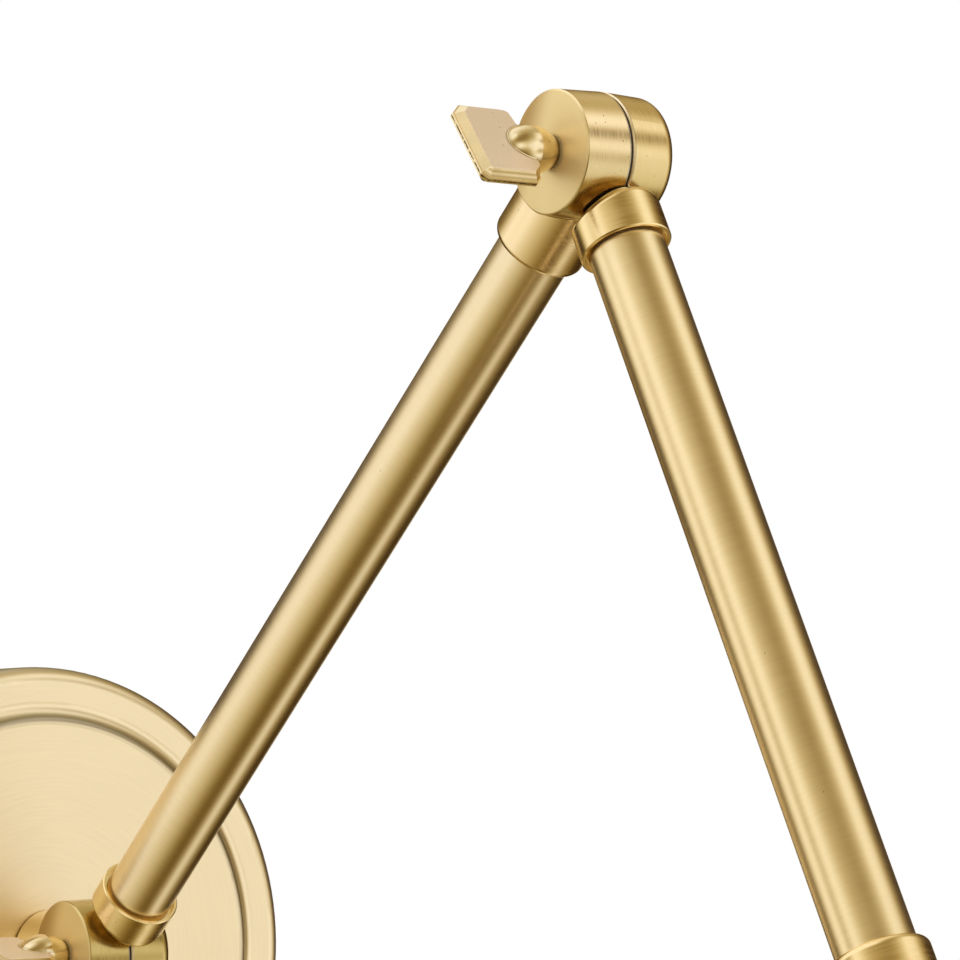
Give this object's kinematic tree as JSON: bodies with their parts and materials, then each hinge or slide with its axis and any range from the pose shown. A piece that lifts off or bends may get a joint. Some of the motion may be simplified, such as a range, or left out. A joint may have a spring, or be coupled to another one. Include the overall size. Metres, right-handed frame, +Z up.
{
  "type": "adjustable wall lamp",
  "caption": "Adjustable wall lamp: round stepped backplate, straight arms on friction knuckles with thumb keys, and a conical shade with a rotary switch.",
  "frame": {"origin": "middle of the backplate's open back, on the wall plane", "axes": "+Z up, -Y out of the wall into the room, the knuckles turn about lines along X and their thumb keys point to -X"},
  "size_m": [0.1556, 0.3821, 0.3371],
  "materials": {
    "satin_brass": "satin, fine turned and drawn grain",
    "cast_brass": "cast, tumbled, with small pits",
    "shade_brass": "satin outside, white enamel inside",
    "bare_brass": "bright",
    "zinc_steel": "zinc plated",
    "earth_green": "green passivated",
    "friction_ring": "dark fibre",
    "glazed_ceramic": "glazed"
  },
  "bodies": {
    "wall": {"crossbar": "zinc_steel", "ground_screw": "earth_green", "backplate": "satin_brass", "backplate_side_screws": "satin_brass", "backing_plate": "zinc_steel", "stem_nipple": "zinc_steel", "stem_lock_washer": "zinc_steel", "stem_locknut": "zinc_steel", "base_stem": "satin_brass", "base_knuckle_inner": "satin_brass", "base_friction_ring": "friction_ring"},
    "base_key_turn": {"base_key": "cast_brass", "base_key_washer": "cast_brass"},
    "lower_arm": {"base_knuckle_outer": "satin_brass", "lower_arm_tube": "satin_brass", "elbow_knuckle_inner": "satin_brass", "elbow_friction_ring": "friction_ring"},
    "elbow_key_turn": {"elbow_key": "cast_brass", "elbow_key_washer": "cast_brass"},
    "upper_arm": {"elbow_knuckle_outer": "satin_brass", "upper_arm_tube": "satin_brass", "head_knuckle_inner": "satin_brass", "head_friction_ring": "friction_ring"},
    "head_key_turn": {"head_key": "cast_brass", "head_key_washer": "cast_brass"},
    "head": {"head_knuckle_outer": "satin_brass", "head_stem": "satin_brass", "socket_cup": "satin_brass", "cup_locknut": "zinc_steel", "socket_body": "glazed_ceramic", "socket_shell": "bare_brass", "socket_contact": "bare_brass", "shade_ring": "satin_brass", "shade": "shade_brass", "switch_bushing": "satin_brass", "switch_nut": "satin_brass"},
    "switch": {"switch_knob": "satin_brass"}
  },
  "joints": [
    {"name": "base_hinge", "type": "hinge", "parent": "wall", "child": "lower_arm", "pos_m": [0, -0.0485, 0], "axis": [-1, 0, 0], "range_deg": [-125, 44]},
    {"name": "elbow_hinge", "type": "hinge", "parent": "lower_arm", "child": "upper_arm", "pos_m": [0, -0.22183, 0.14658], "axis": [-1, 0, 0], "range_deg": [-1, 205]},
    {"name": "head_hinge", "type": "hinge", "parent": "upper_arm", "child": "head", "pos_m": [0, -0.30422, -0.01346], "axis": [-1, 0, 0], "range_deg": [-57, 112]},
    {"name": "base_key_turn_hinge", "type": "hinge", "parent": "wall", "child": "base_key_turn", "pos_m": [0, -0.0485, 0], "axis": [-1, 0, 0], "range_deg": [-180, 180]},
    {"name": "elbow_key_turn_hinge", "type": "hinge", "parent": "lower_arm", "child": "elbow_key_turn", "pos_m": [0, -0.22183, 0.14658], "axis": [-1, 0, 0], "range_deg": [-180, 180]},
    {"name": "head_key_turn_hinge", "type": "hinge", "parent": "upper_arm", "child": "head_key_turn", "pos_m": [0, -0.30422, -0.01346], "axis": [-1, 0, 0], "range_deg": [-180, 180]},
    {"name": "switch_turn", "type": "hinge", "parent": "head", "child": "switch", "pos_m": [0, -0.30422, -0.06946], "axis": [-1, 0, 0], "continuous": true}
  ]
}
